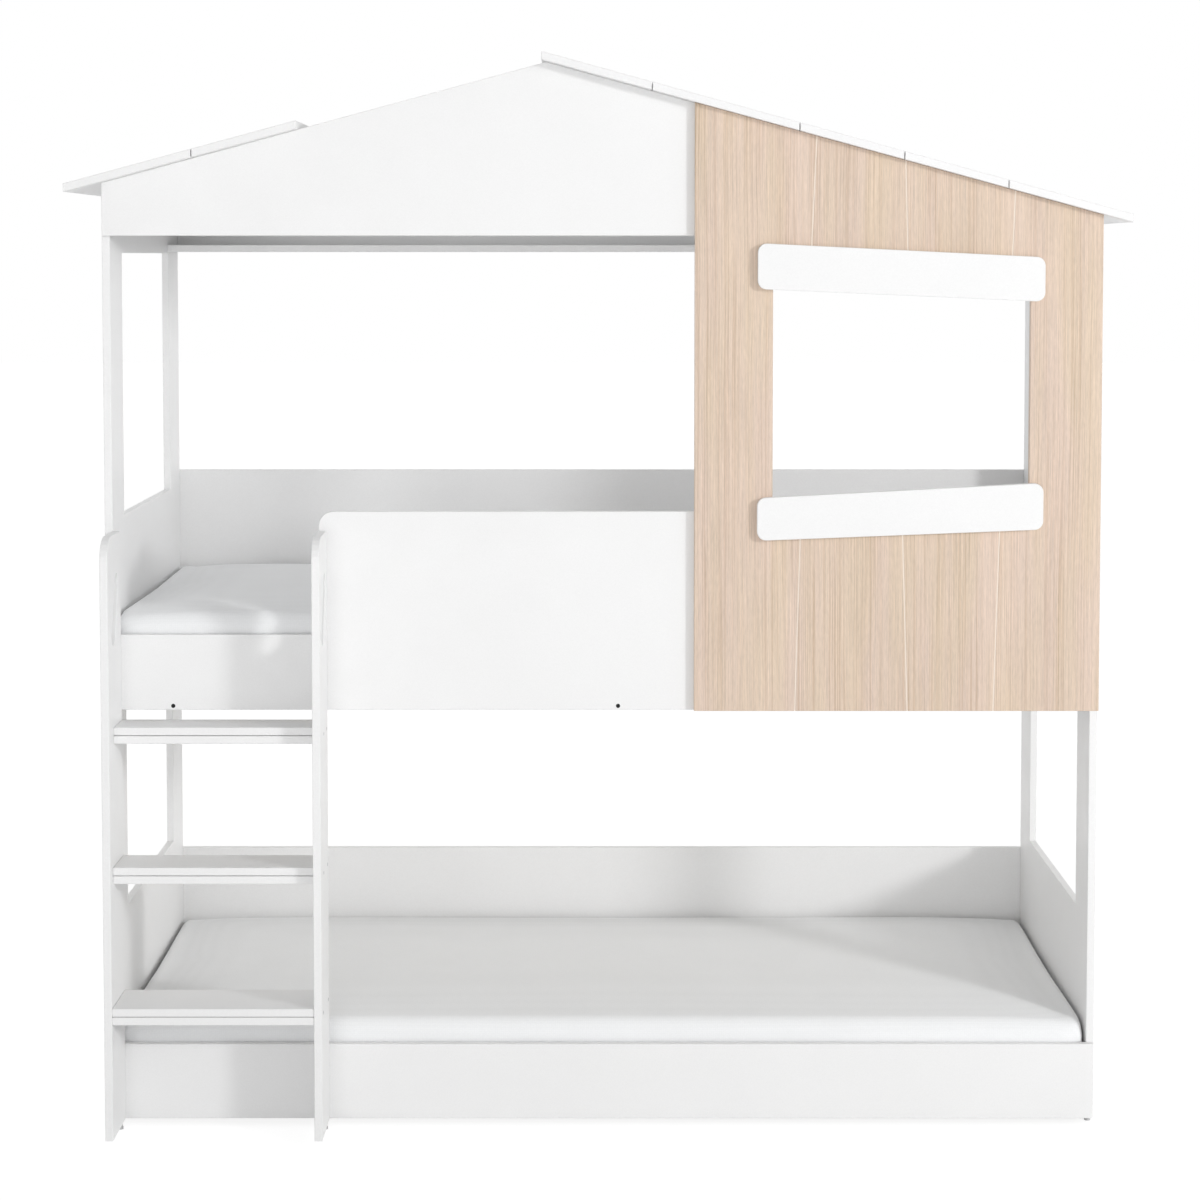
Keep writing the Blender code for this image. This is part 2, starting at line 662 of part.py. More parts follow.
def mattress_rings():
    """Inset and height of each ring, from the flat bottom over the edges to the crown."""
    shoulder = MATTRESS_HEIGHT - MATTRESS_CROWN
    rings = []
    for k in range(FOOT_EDGE_STEPS + 1):
        turn = pi / 2 * k / FOOT_EDGE_STEPS
        rings.append((MATTRESS_FOOT_EDGE * (1 - sin(turn)), MATTRESS_FOOT_EDGE * (1 - cos(turn))))
    for k in range(TOP_EDGE_STEPS + 1):
        turn = pi / 2 * k / TOP_EDGE_STEPS
        rings.append((MATTRESS_EDGE * (1 - cos(turn)), shoulder - MATTRESS_EDGE * (1 - sin(turn))))
    for share in CROWN_SHARES:
        rise = MATTRESS_CROWN * sin(pi / 2 * share / CROWN_SHARES[-1])
        rings.append((MATTRESS_EDGE + share * (MATTRESS_WIDTH / 2 - MATTRESS_EDGE), shoulder + rise))
    return rings


def mattress(name, level):
    """A foam mattress with rounded edges, a slight crown and drawn-in sides, flat where it rests."""
    bm = bmesh.new()
    plan = mattress_plan()
    loops = []
    for inset, z in mattress_rings():
        across_x, across_y = 1 - 2 * inset / MATTRESS_LENGTH, 1 - 2 * inset / MATTRESS_WIDTH
        verts = [bm.verts.new((point.x * across_x, point.y * across_y, z)) for point in plan]
        loops.append([bm.edges.new((verts[i - 1], verts[i])) for i in range(len(verts))])
    for lower, upper in zip(loops, loops[1:]):
        bmesh.ops.bridge_loops(bm, edges=lower + upper)
    for rim in (loops[0], loops[-1]):
        bmesh.ops.edgeloop_fill(bm, edges=rim)
    face_out(bm)
    obj = new_object(name, bm, COVER, (0, (SIDE_FRONT + SIDE_BACK) / 2, level))
    obj.data.shade_smooth()
    obj.data.set_sharp_from_angle(angle=radians(50))


def beds():
    stack = BATTEN_HEIGHT + GAP
    for bed, level in (("upper", UPPER_BATTEN_LEVEL), ("lower", LOWER_BATTEN_LEVEL)):
        slat_roll("slat_roll_" + bed, level + stack)
        mattress("mattress_" + bed, level + stack + SLAT_THICKNESS + GAP)


# Glides

def glides():
    """Plastic glides under the side frames' corners and under the back of each stile."""
    profile = [
        (0, 0),
        (0, GLIDE_BASE_RADIUS),
        (GLIDE_BASE_HEIGHT, GLIDE_BASE_RADIUS),
        (GLIDE_BASE_HEIGHT, GLIDE_NECK_RADIUS),
        (FOOT_HEIGHT - GAP, GLIDE_NECK_RADIUS),
        (FOOT_HEIGHT - GAP, 0),
    ]
    side_x, front, back = OUTER_HALF - BOARD / 2, SIDE_FRONT + GLIDE_INSET, SIDE_BACK - GLIDE_INSET
    places = {
        "glide_front_left": (-side_x, front, 0),
        "glide_front_right": (side_x, front, 0),
        "glide_back_left": (-side_x, back, 0),
        "glide_back_right": (side_x, back, 0),
        "glide_ladder_left": (LEFT_STILE_X + BOARD / 2, -GLIDE_INSET, 0),
        "glide_ladder_right": (LADDER_RIGHT + BOARD / 2, -GLIDE_INSET, 0),
    }
    for name, place in places.items():
        bm = bmesh.new()
        add_turned(bm, profile, (0, 0, 0), "Z")
        new_object(name, bm, PLASTIC, place)


for stray in list(bpy.data.objects):
    bpy.data.objects.remove(stray)

WHITE = material("white_melamine", "F1F1F0", 0.42)
WOOD = material("wood_grain_melamine", "E0CDBB", 0.5)
PINE = material("planed_pine", "E2C79A", 0.6)
COVER = material("mattress_cover", "F2F2F1", 0.85)
STEEL = material("zinc_plated_steel", "8E9092", 0.35, 1)
BLACK = material("black_oxide_steel", "1C1C1D", 0.45, 1)
PLASTIC = material("grey_plastic", "BDBDBC", 0.5)

# The bed's own frame has X from the middle of the inside, Y from the front boards' face and Z from
# the floor. The empty sets that frame so that the whole stands centred on the origin.
BED = bpy.data.objects.new("bed", None)
BED.location = (
    -(LEFT_EAVE_X + RIGHT_EAVE_X) / 2,
    -(REAR_FACE + ROOF_OVERHANG - STILE_DEPTH) / 2,
    0,
)
bpy.context.scene.collection.objects.link(BED)

bolt_cutter = bolt_holes()
side_panels()
gables()
guard_panel(bolt_cutter)
plain_front_and_back_boards()
top_rail()
roof()
wood_front()
window_planks()
ladder()
cross_bars(bolt_cutter)
battens()
beds()
glides()
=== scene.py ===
"""House bunk bed: finishes, mattresses, slatted bases, floor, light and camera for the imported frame.
Metres, +Z up, +X to the right seen from the front, +Y from the ladder side to the back."""

import json
from math import copysign, cos, radians, sin

import bmesh
import bpy
from mathutils import Matrix, Vector


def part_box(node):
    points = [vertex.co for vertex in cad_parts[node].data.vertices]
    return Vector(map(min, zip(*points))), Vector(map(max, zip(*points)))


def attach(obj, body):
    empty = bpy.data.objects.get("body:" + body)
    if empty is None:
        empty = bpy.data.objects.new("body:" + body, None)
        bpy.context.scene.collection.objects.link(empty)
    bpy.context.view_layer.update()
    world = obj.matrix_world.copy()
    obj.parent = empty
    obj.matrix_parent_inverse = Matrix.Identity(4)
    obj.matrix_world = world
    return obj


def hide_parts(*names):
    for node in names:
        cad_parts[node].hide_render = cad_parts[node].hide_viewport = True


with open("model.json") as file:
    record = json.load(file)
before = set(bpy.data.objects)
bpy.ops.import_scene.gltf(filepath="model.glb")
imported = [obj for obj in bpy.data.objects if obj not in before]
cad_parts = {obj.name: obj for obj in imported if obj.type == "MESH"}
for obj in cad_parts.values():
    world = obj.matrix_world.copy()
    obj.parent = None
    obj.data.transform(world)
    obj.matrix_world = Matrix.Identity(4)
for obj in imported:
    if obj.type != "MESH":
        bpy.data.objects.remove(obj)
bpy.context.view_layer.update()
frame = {"nodes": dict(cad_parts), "record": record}

# Camera: nearly level in front of the bed, a little above the low rail, framed by a small downward shift
CAMERA_PLACE = (0.003, -6.017, 1.797)
CAMERA_DIP = radians(3.4)
LENS = 82.67
LENS_SHIFT = -0.1507

# Light: a white room whose four walls glow softly, and three softboxes.
# A wall's strength holds straight ahead of it, and it fades with the cosine to the sides.
WALLS = (                     # direction and strength
    ((0, -1, 0), 0.64),
    ((1, 0, 0), 0.54),
    ((0, 1, 0), 1.41),
    ((-1, 0, 0), 0.53),
)
SOFTBOX_AIM = (0, -0.4, 1.1)
SOFTBOXES = {                 # turn to the right and rise in degrees, distance, size, power
    "key_softbox": (48.5, 12.5, 8, 1.05, 200),
    "wide_softbox": (51, 16, 8, 3.8, 32),
    "low_fill_softbox": (-10, -3, 8, 2.6, 98),
}
FLOOR_SIZE = 40
FLOOR_GLOW = 1.2              # of the part of the floor that is plain white to the camera
FLOOR_PLAIN = 0.72            # that part's share, and the rest shows the shadow

# Mattress, laid out as its CAD solid
MATTRESS_GRAIN = 0.014        # voxel of the cover's mesh
MATTRESS_PRESSURE = 4         # of the foam, as a cloth pressure force
MATTRESS_LAST_FRAME = 20      # of the cloth simulation
MATTRESS_DRAWN_IN = 0.004     # start size inside the solid, from which the cover swells
MATTRESS_SWELL = 0.008        # furthest that a point of the cover moves
MATTRESS_PROUD = 0.0008       # past the solid at the sides and ends
MATTRESS_RISE = 0.006         # of the top's middle over the solid's
MATTRESS_END_FALL = 0.008     # how much lower the top lies at the ends
MATTRESS_FALL_REACH = 0.30    # from an end to where the fall starts
MATTRESS_ROLL = 0.046         # radius of the top's front edge
MATTRESS_ROLL_DROP = 0.002    # of that edge's highest line under the top's middle
MATTRESS_CORNER = 0.045       # reach of the corners
MATTRESS_SQUARENESS = 5       # exponent of their superellipse, where 2 is round

# Slatted bases
SLAT_COUNT = 14
SLAT_WIDTH = 0.060
SLAT_THICKNESS = 0.015
SLAT_ROUND = 0.003
TAPE_WIDTH = 0.025
TAPE_THICKNESS = 0.0014
TAPE_INSET = 0.180            # from a slat's end to the tape's middle
TAPE_SAG = 0.003              # between two slats
TAPE_SHORT = 0.004            # of the outer slats' outer edges
TAPE_PROUD = 0.0001           # over the slats' tops
TAPE_ROUND = 0.0004

GROOVE_DEPTH = 0.0008         # of the slanting grooves in the wood-grain front


# Nodes and materials

def linear(hex_colour):
    """An sRGB hex colour as the linear values that a shader takes."""
    parts = [int(hex_colour[i:i + 2], 16) / 255 for i in (0, 2, 4)]
    return (*(p / 12.92 if p <= 0.04045 else ((p + 0.055) / 1.055) ** 2.4 for p in parts), 1)


def add(tree, kind, inputs=None, **settings):
    """A node with its settings, whose inputs, by name or number, get values or another node's output."""
    made = tree.nodes.new(kind)
    for name, value in settings.items():
        setattr(made, name, value)
    for key, value in (inputs or {}).items():
        if isinstance(value, bpy.types.NodeSocket):
            tree.links.new(value, made.inputs[key])
        else:
            made.inputs[key].default_value = value
    return made


def new_material(name):
    """A material of that name and its empty node tree."""
    material = bpy.data.materials.new(name)
    material.use_nodes = True
    material.node_tree.nodes.clear()
    return material, material.node_tree


def satin_melamine():
    """Chipboard faced with pressed white melamine film and edged with matching tape. To the eye it is an even,
    barely warm white with a satin shine that a fine pearl grain breaks up."""
    material, tree = new_material("Satin white melamine on chipboard")
    place = add(tree, "ShaderNodeTexCoord").outputs["Object"]
    # Cloudiness of the pressed film, some 0.3 m across
    cloud = add(tree, "ShaderNodeTexNoise", {"Vector": place, "Scale": 3.2, "Detail": 3.0, "Roughness": 0.55})
    # Pearl grain: real pits lie 0.8 mm apart, drawn 3 mm apart because finer ones don't show
    pearl = add(tree, "ShaderNodeTexNoise", {"Vector": place, "Scale": 330.0, "Detail": 2.0, "Roughness": 0.6})
    # Traces of wiping, 40 to 80 mm across, show in the shine only
    wiped = add(tree, "ShaderNodeTexNoise", {"Vector": place, "Scale": 16.0, "Detail": 4.0, "Distortion": 0.6})
    tone = add(tree, "ShaderNodeMix", {0: cloud.outputs["Fac"], 6: linear("ECECEC"), 7: linear("F1F1F1")},
               data_type="RGBA")
    # The pearl grain is painted up to 1.5 % darker in its pits and lighter on its rises: painted shade and light
    # on the relief.
    pearl_painted_shade = add(tree, "ShaderNodeMapRange", {"Value": pearl.outputs["Fac"], "From Min": 0.3, "From Max": 0.7,
                                             "To Min": 0.985, "To Max": 1.015})
    colour = add(tree, "ShaderNodeVectorMath", {0: tone.outputs[2], 3: pearl_painted_shade.outputs[0]}, operation="SCALE")
    roughness = add(tree, "ShaderNodeMapRange", {"Value": wiped.outputs["Fac"], "From Min": 0.3, "From Max": 0.7,
                                                 "To Min": 0.36, "To Max": 0.48})
    relief = add(tree, "ShaderNodeBump", {"Height": pearl.outputs["Fac"], "Distance": 0.00008, "Strength": 0.7})
    shader = add(tree, "ShaderNodeBsdfPrincipled", {"Base Color": colour.outputs[0], "Normal": relief.outputs[0],
                                                    "Roughness": roughness.outputs[0], "IOR": 1.5})
    add(tree, "ShaderNodeOutputMaterial", {"Surface": shader.outputs[0]})
    return material


def oak_print_melamine():
    """Chipboard faced with melamine film printed as pale oak, with routed grooves that show the light core.
    To the eye it is a matt beige with close upright lines, strong and faint in turn, and thin light strokes."""
    material, tree = new_material("Pale oak print melamine")
    coordinates = add(tree, "ShaderNodeTexCoord")
    place = coordinates.outputs["Object"]
    # The lines wander sideways by some 5 mm over half a metre of height
    wander = add(tree, "ShaderNodeTexNoise", {"Vector": place, "Scale": 1.7, "Detail": 1.0})
    bent = add(tree, "ShaderNodeVectorMath", {0: wander.outputs["Color"], 1: (0.014, 0, 0), 2: place},
               operation="MULTIPLY_ADD").outputs[0]
    layers = []
    # Features across the grain: bands of 110 mm, streaks of 30 mm, lines of 2.1 mm and hairs of 1.3 mm, where the
    # real print's lines and hairs are under 1 mm, too fine to show. The last layer is flecks 17 mm long.
    for across, along, detail in ((9, 0.4, 2.0), (33, 0.8, 1.0), (480, 2.2, 0.0), (760, 7, 0.0), (600, 60, 2.0)):
        drawn_out = add(tree, "ShaderNodeMapping", {"Vector": bent, "Scale": (across, across, along)})
        layers.append(add(tree, "ShaderNodeTexNoise", {"Vector": drawn_out.outputs[0], "Scale": 1.0,
                                                       "Detail": detail}).outputs["Fac"])
    bands, streaks, lines, hairs, flecks = layers
    # A line is dark and brown where its noise is low, and it is stronger within a streak
    dark = add(tree, "ShaderNodeMapRange", {"Value": lines, "From Min": 0.3, "From Max": 0.52,
                                            "To Min": 1.0, "To Max": 0.0}, interpolation_type="SMOOTHSTEP")
    depth = add(tree, "ShaderNodeMapRange", {"Value": streaks, "From Min": 0.34, "From Max": 0.66,
                                             "To Min": 0.3, "To Max": 1.0})
    strength = add(tree, "ShaderNodeMath", {0: dark.outputs[0], 1: depth.outputs[0]}, operation="MULTIPLY")
    line = add(tree, "ShaderNodeMix", {0: strength.outputs[0], 6: linear("FBFBFB"), 7: linear("E9E2D9")},
               data_type="RGBA")
    light = 1.0
    for layer, contrast in ((bands, -0.2), (streaks, -0.05), (hairs, 0.34), (flecks, 0.32)):
        centred = add(tree, "ShaderNodeMath", {0: layer, 1: 0.5}, operation="SUBTRACT")
        light = add(tree, "ShaderNodeMath", {0: centred.outputs[0], 1: contrast, 2: light},
                    operation="MULTIPLY_ADD").outputs[0]
    # The hue drifts between pink and straw over some 40 mm
    hue_place = add(tree, "ShaderNodeMapping", {"Vector": bent, "Scale": (24, 24, 2.2), "Location": (8, 0, 0)})
    hue = add(tree, "ShaderNodeTexNoise", {"Vector": hue_place.outputs[0], "Scale": 1.0, "Detail": 1.0})
    hue_step = add(tree, "ShaderNodeMapRange", {"Value": hue.outputs["Fac"], "From Min": 0.35, "From Max": 0.65})
    ground = add(tree, "ShaderNodeMix", {0: hue_step.outputs[0], 6: linear("DBC6B6"), 7: linear("DAC6B1")},
                 data_type="RGBA")
    shaded = add(tree, "ShaderNodeVectorMath", {0: ground.outputs[2], 3: light}, operation="SCALE")
    print_colour = add(tree, "ShaderNodeVectorMath", {0: shaded.outputs[0], 1: line.outputs[2]},
                       operation="MULTIPLY")
    # The floor of a groove is the only face that looks straight forward from behind the panel's face
    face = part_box("wood_front_panel")[0].y
    inwards = add(tree, "ShaderNodeSeparateXYZ", {0: place}).outputs["Y"]
    behind = add(tree, "ShaderNodeMath", {0: inwards, 1: face + GROOVE_DEPTH, 2: GROOVE_DEPTH / 2},
                 operation="COMPARE")
    facing = add(tree, "ShaderNodeSeparateXYZ", {0: coordinates.outputs["Normal"]}).outputs["Y"]
    forward = add(tree, "ShaderNodeMath", {0: facing, 1: -0.99}, operation="LESS_THAN")
    in_groove = add(tree, "ShaderNodeMath", {0: behind.outputs[0], 1: forward.outputs[0]}, operation="MULTIPLY")
    colour = add(tree, "ShaderNodeMix", {0: in_groove.outputs[0], 6: print_colour.outputs[0], 7: linear("EEE2D5")},
                 data_type="RGBA")
    roughness = add(tree, "ShaderNodeMapRange", {"Value": streaks, "From Min": 0.3, "From Max": 0.7,
                                                 "To Min": 0.44, "To Max": 0.56})
    # The film is pressed with the grain: furrows 0.05 mm deep
    relief = add(tree, "ShaderNodeBump", {"Height": lines, "Distance": 0.0001, "Strength": 0.6})
    shader = add(tree, "ShaderNodeBsdfPrincipled", {"Base Color": colour.outputs[2], "Normal": relief.outputs[0],
                                                    "Roughness": roughness.outputs[0], "IOR": 1.5})
    add(tree, "ShaderNodeOutputMaterial", {"Surface": shader.outputs[0]})
    return material


def planed_pine(name, across):
    """Planed untreated pine, a piece cut along the grain. To the eye it is a dull straw yellow with darker
    growth lines along the piece, a few knots and a slight silkiness. across is the pattern's scale on X, Y
    and Z, and it is small along the grain."""
    material, tree = new_material(name)
    place = add(tree, "ShaderNodeTexCoord").outputs["Object"]
    drawn_out = add(tree, "ShaderNodeMapping", {"Vector": place, "Scale": across})
    # Growth lines 4 to 6 mm apart, bent round the places of knots
    lines = add(tree, "ShaderNodeTexNoise", {"Vector": drawn_out.outputs[0], "Scale": 190.0, "Detail": 3.0,
                                             "Distortion": 0.4})
    fibre = add(tree, "ShaderNodeTexNoise", {"Vector": drawn_out.outputs[0], "Scale": 700.0, "Detail": 2.0})
    knots = add(tree, "ShaderNodeTexVoronoi", {"Vector": place, "Scale": 4.5, "Randomness": 1.0})
    knot = add(tree, "ShaderNodeMapRange", {"Value": knots.outputs["Distance"], "From Min": 0.03,
                                            "From Max": 0.055, "To Min": 1.0, "To Max": 0.0})
    late = add(tree, "ShaderNodeMapRange", {"Value": lines.outputs["Fac"], "From Min": 0.42, "From Max": 0.66})
    wood = add(tree, "ShaderNodeMix", {0: late.outputs[0], 6: linear("F2EADB"), 7: linear("E5D8C0")},
               data_type="RGBA")
    colour = add(tree, "ShaderNodeMix", {0: knot.outputs[0], 6: wood.outputs[2], 7: linear("A9835C")},
                 data_type="RGBA")
    relief = add(tree, "ShaderNodeBump", {"Height": fibre.outputs["Fac"], "Distance": 0.0002, "Strength": 0.6})
    roughness = add(tree, "ShaderNodeMapRange", {"Value": fibre.outputs["Fac"], "To Min": 0.58, "To Max": 0.78})
    shader = add(tree, "ShaderNodeBsdfPrincipled", {"Base Color": colour.outputs[2], "Normal": relief.outputs[0],
                                                    "Roughness": roughness.outputs[0], "IOR": 1.5})
    add(tree, "ShaderNodeOutputMaterial", {"Surface": shader.outputs[0]})
    return material


def knitted_cover():
    """Stretch knit of cotton and polyester drawn over foam. To the eye it is a matt, even white with a soft,
    slightly pebbled face that brightens a little where it turns away."""
    material, tree = new_material("White cotton stretch knit")
    place = add(tree, "ShaderNodeTexCoord").outputs["Object"]
    # Stitches: real ones are 1 mm, drawn 4 mm so that they show
    stitch = add(tree, "ShaderNodeTexVoronoi", {"Vector": place, "Scale": 250.0, "Randomness": 0.35})
    # Uneven tension of the cover over some 0.15 m
    tension = add(tree, "ShaderNodeTexNoise", {"Vector": place, "Scale": 6.5, "Detail": 3.0})
    lint = add(tree, "ShaderNodeTexNoise", {"Vector": place, "Scale": 900.0, "Detail": 2.0})
    # Each stitch is painted up to 5 % darker towards its edge, where its relief sinks: painted shade between the
    # stitches.
    thread_painted_shade = add(tree, "ShaderNodeMapRange", {"Value": stitch.outputs["Distance"], "From Max": 0.7,
                                              "To Min": 1.0, "To Max": 0.95})
    ground = add(tree, "ShaderNodeMix", {0: tension.outputs["Fac"], 6: linear("F4F5F6"), 7: linear("F9FAFB")},
                 data_type="RGBA")
    colour = add(tree, "ShaderNodeVectorMath", {0: ground.outputs[2], 3: thread_painted_shade.outputs[0]}, operation="SCALE")
    height = add(tree, "ShaderNodeMath", {0: lint.outputs["Fac"], 1: 0.3, 2: stitch.outputs["Distance"]},
                 operation="MULTIPLY_ADD")
    relief = add(tree, "ShaderNodeBump", {"Height": height.outputs[0], "Distance": 0.0004, "Strength": 0.5},
                 invert=True)
    shader = add(tree, "ShaderNodeBsdfPrincipled", {"Base Color": colour.outputs[0], "Normal": relief.outputs[0],
                                                    "Roughness": 0.92, "IOR": 1.46, "Sheen Weight": 0.15,
                                                    "Sheen Roughness": 0.4})
    add(tree, "ShaderNodeOutputMaterial", {"Surface": shader.outputs[0]})
    return material


def woven_tape():
    """Woven polypropylene webbing. To the eye it is a dull off-white band with a close cross weave."""
    material, tree = new_material("Woven white webbing")
    place = add(tree, "ShaderNodeTexCoord").outputs["Object"]
    # Threads: real ones lie 1.2 mm apart, drawn 2.4 mm apart both ways so that they show
    waves = [add(tree, "ShaderNodeTexWave", {"Vector": place, "Scale": 130.0, "Distortion": 0.3},
                 bands_direction=axis).outputs["Fac"] for axis in "XY"]
    weave = add(tree, "ShaderNodeMath", {0: waves[0], 1: waves[1]}, operation="MULTIPLY")
    soil = add(tree, "ShaderNodeTexNoise", {"Vector": place, "Scale": 25.0, "Detail": 3.0})
    # The colour is painted darker where the weave sinks between threads: painted shade in the hollows of the
    # weave.
    thread_painted_shade = add(tree, "ShaderNodeMix", {0: weave.outputs[0], 6: linear("CFCBC1"), 7: linear("ECEAE4")},
                 data_type="RGBA")
    colour = add(tree, "ShaderNodeMix", {0: soil.outputs["Fac"], 6: thread_painted_shade.outputs[2], 7: linear("DEDAD0")},
                 data_type="RGBA")
    relief = add(tree, "ShaderNodeBump", {"Height": weave.outputs[0], "Distance": 0.0003, "Strength": 0.7})
    shader = add(tree, "ShaderNodeBsdfPrincipled", {"Base Color": colour.outputs[2], "Normal": relief.outputs[0],
                                                    "Roughness": 0.75, "IOR": 1.49})
    add(tree, "ShaderNodeOutputMaterial", {"Surface": shader.outputs[0]})
    return material


def small_steel(name, dull, bright, rough, shine):
    """Turned and plated or blackened steel, as on furniture screws. To the eye it is a small grey or black dot
    with fine turning marks and a patchy shine."""
    material, tree = new_material(name)
    place = add(tree, "ShaderNodeTexCoord").outputs["Object"]
    # Turning marks 0.6 mm apart, and bloom of the plating 2 mm across
    turned = add(tree, "ShaderNodeTexWave", {"Vector": place, "Scale": 500.0, "Distortion": 1.5})
    bloom = add(tree, "ShaderNodeTexNoise", {"Vector": place, "Scale": 450.0, "Detail": 3.0})
    colour = add(tree, "ShaderNodeMix", {0: bloom.outputs["Fac"], 6: linear(dull), 7: linear(bright)},
                 data_type="RGBA")
    roughness = add(tree, "ShaderNodeMapRange", {"Value": bloom.outputs["Fac"], "To Min": rough - 0.1,
                                                 "To Max": rough + 0.1})
    relief = add(tree, "ShaderNodeBump", {"Height": turned.outputs["Fac"], "Distance": 0.00003, "Strength": 0.5})
    shader = add(tree, "ShaderNodeBsdfPrincipled", {"Base Color": colour.outputs[2], "Normal": relief.outputs[0],
                                                    "Roughness": roughness.outputs[0], "Metallic": shine})
    add(tree, "ShaderNodeOutputMaterial", {"Surface": shader.outputs[0]})
    return material


def moulded_polythene():
    """Injection-moulded grey polythene, as on furniture glides. To the eye it is a matt mid grey, faintly grained
    and rubbed lighter."""
    material, tree = new_material("Moulded grey polythene")
    place = add(tree, "ShaderNodeTexCoord").outputs["Object"]
    # Spark-eroded grain 0.5 mm across
    grain = add(tree, "ShaderNodeTexNoise", {"Vector": place, "Scale": 1800.0, "Detail": 2.0})
    rubbed = add(tree, "ShaderNodeTexNoise", {"Vector": place, "Scale": 160.0, "Detail": 3.0})
    colour = add(tree, "ShaderNodeMix", {0: rubbed.outputs["Fac"], 6: linear("B5B5B5"), 7: linear("C6C6C7")},
                 data_type="RGBA")
    roughness = add(tree, "ShaderNodeMapRange", {"Value": rubbed.outputs["Fac"], "To Min": 0.45, "To Max": 0.62})
    relief = add(tree, "ShaderNodeBump", {"Height": grain.outputs["Fac"], "Distance": 0.00005, "Strength": 0.6})
    shader = add(tree, "ShaderNodeBsdfPrincipled", {"Base Color": colour.outputs[2], "Normal": relief.outputs[0],
                                                    "Roughness": roughness.outputs[0], "IOR": 1.51})
    add(tree, "ShaderNodeOutputMaterial", {"Surface": shader.outputs[0]})
    return material


def seen_share(tree):
    """1 for what the camera sees directly, by a reflection or through glass, and 0 for light on the bed."""
    rays = add(tree, "ShaderNodeLightPath").outputs
    share = rays["Is Camera Ray"]
    for name in ("Is Glossy Ray", "Is Transmission Ray"):
        share = add(tree, "ShaderNodeMath", {0: share, 1: rays[name]}, operation="MAXIMUM").outputs[0]
    return share


def studio_floor():
    """Matt white studio vinyl. To the camera most of it is plain white, and the rest keeps the bed's shadow."""
    material, tree = new_material("White studio floor")
    place = add(tree, "ShaderNodeTexCoord").outputs["Object"]
    scuff = add(tree, "ShaderNodeTexNoise", {"Vector": place, "Scale": 0.8, "Detail": 3.0})
    colour = add(tree, "ShaderNodeMix", {0: scuff.outputs["Fac"], 6: linear("EEEEEE"), 7: linear("F2F2F2")},
                 data_type="RGBA")
    matt = add(tree, "ShaderNodeBsdfDiffuse", {"Color": colour.outputs[2]})
    plain = add(tree, "ShaderNodeEmission", {"Color": (1, 1, 1, 1), "Strength": FLOOR_GLOW})
    share = add(tree, "ShaderNodeMath", {0: seen_share(tree), 1: FLOOR_PLAIN}, operation="MULTIPLY")
    mixed = add(tree, "ShaderNodeMixShader", {0: share.outputs[0], 1: matt.outputs[0], 2: plain.outputs[0]})
    add(tree, "ShaderNodeOutputMaterial", {"Surface": mixed.outputs[0]})
    return material


# Pieces

def new_piece(name, bm, material, body, smooth_below=None):
    """Makes a piece of a bmesh, gives it its finish and lets it ride on a body."""
    bmesh.ops.recalc_face_normals(bm, faces=bm.faces)
    mesh = bpy.data.meshes.new(name)
    bm.to_mesh(mesh)
    bm.free()
    piece = bpy.data.objects.new(name, mesh)
    bpy.context.scene.collection.objects.link(piece)
    mesh.materials.append(material)
    if smooth_below:
        mesh.shade_smooth()
        mesh.set_sharp_from_angle(angle=radians(smooth_below))
    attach(piece, body)
    return piece


def add_bar(bm, low, high, rounding, segments=2):
    """A bar between two corners with rounded edges."""
    size = Vector(high) - Vector(low)
    middle = (Vector(high) + Vector(low)) / 2
    verts = bmesh.ops.create_cube(bm, size=1.0)["verts"]
    bmesh.ops.scale(bm, verts=verts, vec=size)
    bmesh.ops.translate(bm, verts=verts, vec=middle)
    edges = {edge for vert in verts for edge in vert.link_edges}
    bmesh.ops.bevel(bm, geom=list(edges), offset=rounding, affect="EDGES", segments=segments, profile=0.5,
                    material=-1)


def slatted_base(level, pine, tape):
    """Slats with rounded edges and the two tapes that tie them, in place of the roll's single solid."""
    node = f"slat_roll_{level}"
    low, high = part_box(node)
    pitch = (high.x - low.x - SLAT_WIDTH) / (SLAT_COUNT - 1)
    bm = bmesh.new()
    for i in range(SLAT_COUNT):
        left = low.x + i * pitch
        add_bar(bm, (left, low.y, high.z - SLAT_THICKNESS), (left + SLAT_WIDTH, high.y, high.z), SLAT_ROUND)
    slats = new_piece(f"slats_{level}", bm, pine, "frame", smooth_below=50)
    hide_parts(node)
    for side, y in (("front", low.y + TAPE_INSET), ("back", high.y - TAPE_INSET)):
        bm = bmesh.new()
        add_bar(bm, (low.x + TAPE_SHORT, y - TAPE_WIDTH / 2, high.z - TAPE_THICKNESS + TAPE_PROUD),
                (high.x - TAPE_SHORT, y + TAPE_WIDTH / 2, high.z + TAPE_PROUD), TAPE_ROUND, 1)
        # The tape lies flat on each slat and sags a little between two
        gap = pitch - SLAT_WIDTH
        for i in range(SLAT_COUNT - 1):
            right = low.x + i * pitch + SLAT_WIDTH
            for share in (0, 0.25, 0.5, 0.75, 1):
                bmesh.ops.bisect_plane(bm, geom=bm.verts[:] + bm.edges[:] + bm.faces[:],
                                       plane_co=(right + share * gap, 0, 0), plane_no=(1, 0, 0))
        for vert in bm.verts:
            along = ((vert.co.x - low.x) % pitch - SLAT_WIDTH) / gap
            if 0 < along < 1 and vert.co.x < high.x - SLAT_WIDTH:
                vert.co.z -= TAPE_SAG * 4 * along * (1 - along)
        tie = new_piece(f"slat_tape_{level}_{side}", bm, tape, "frame")
        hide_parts(node)


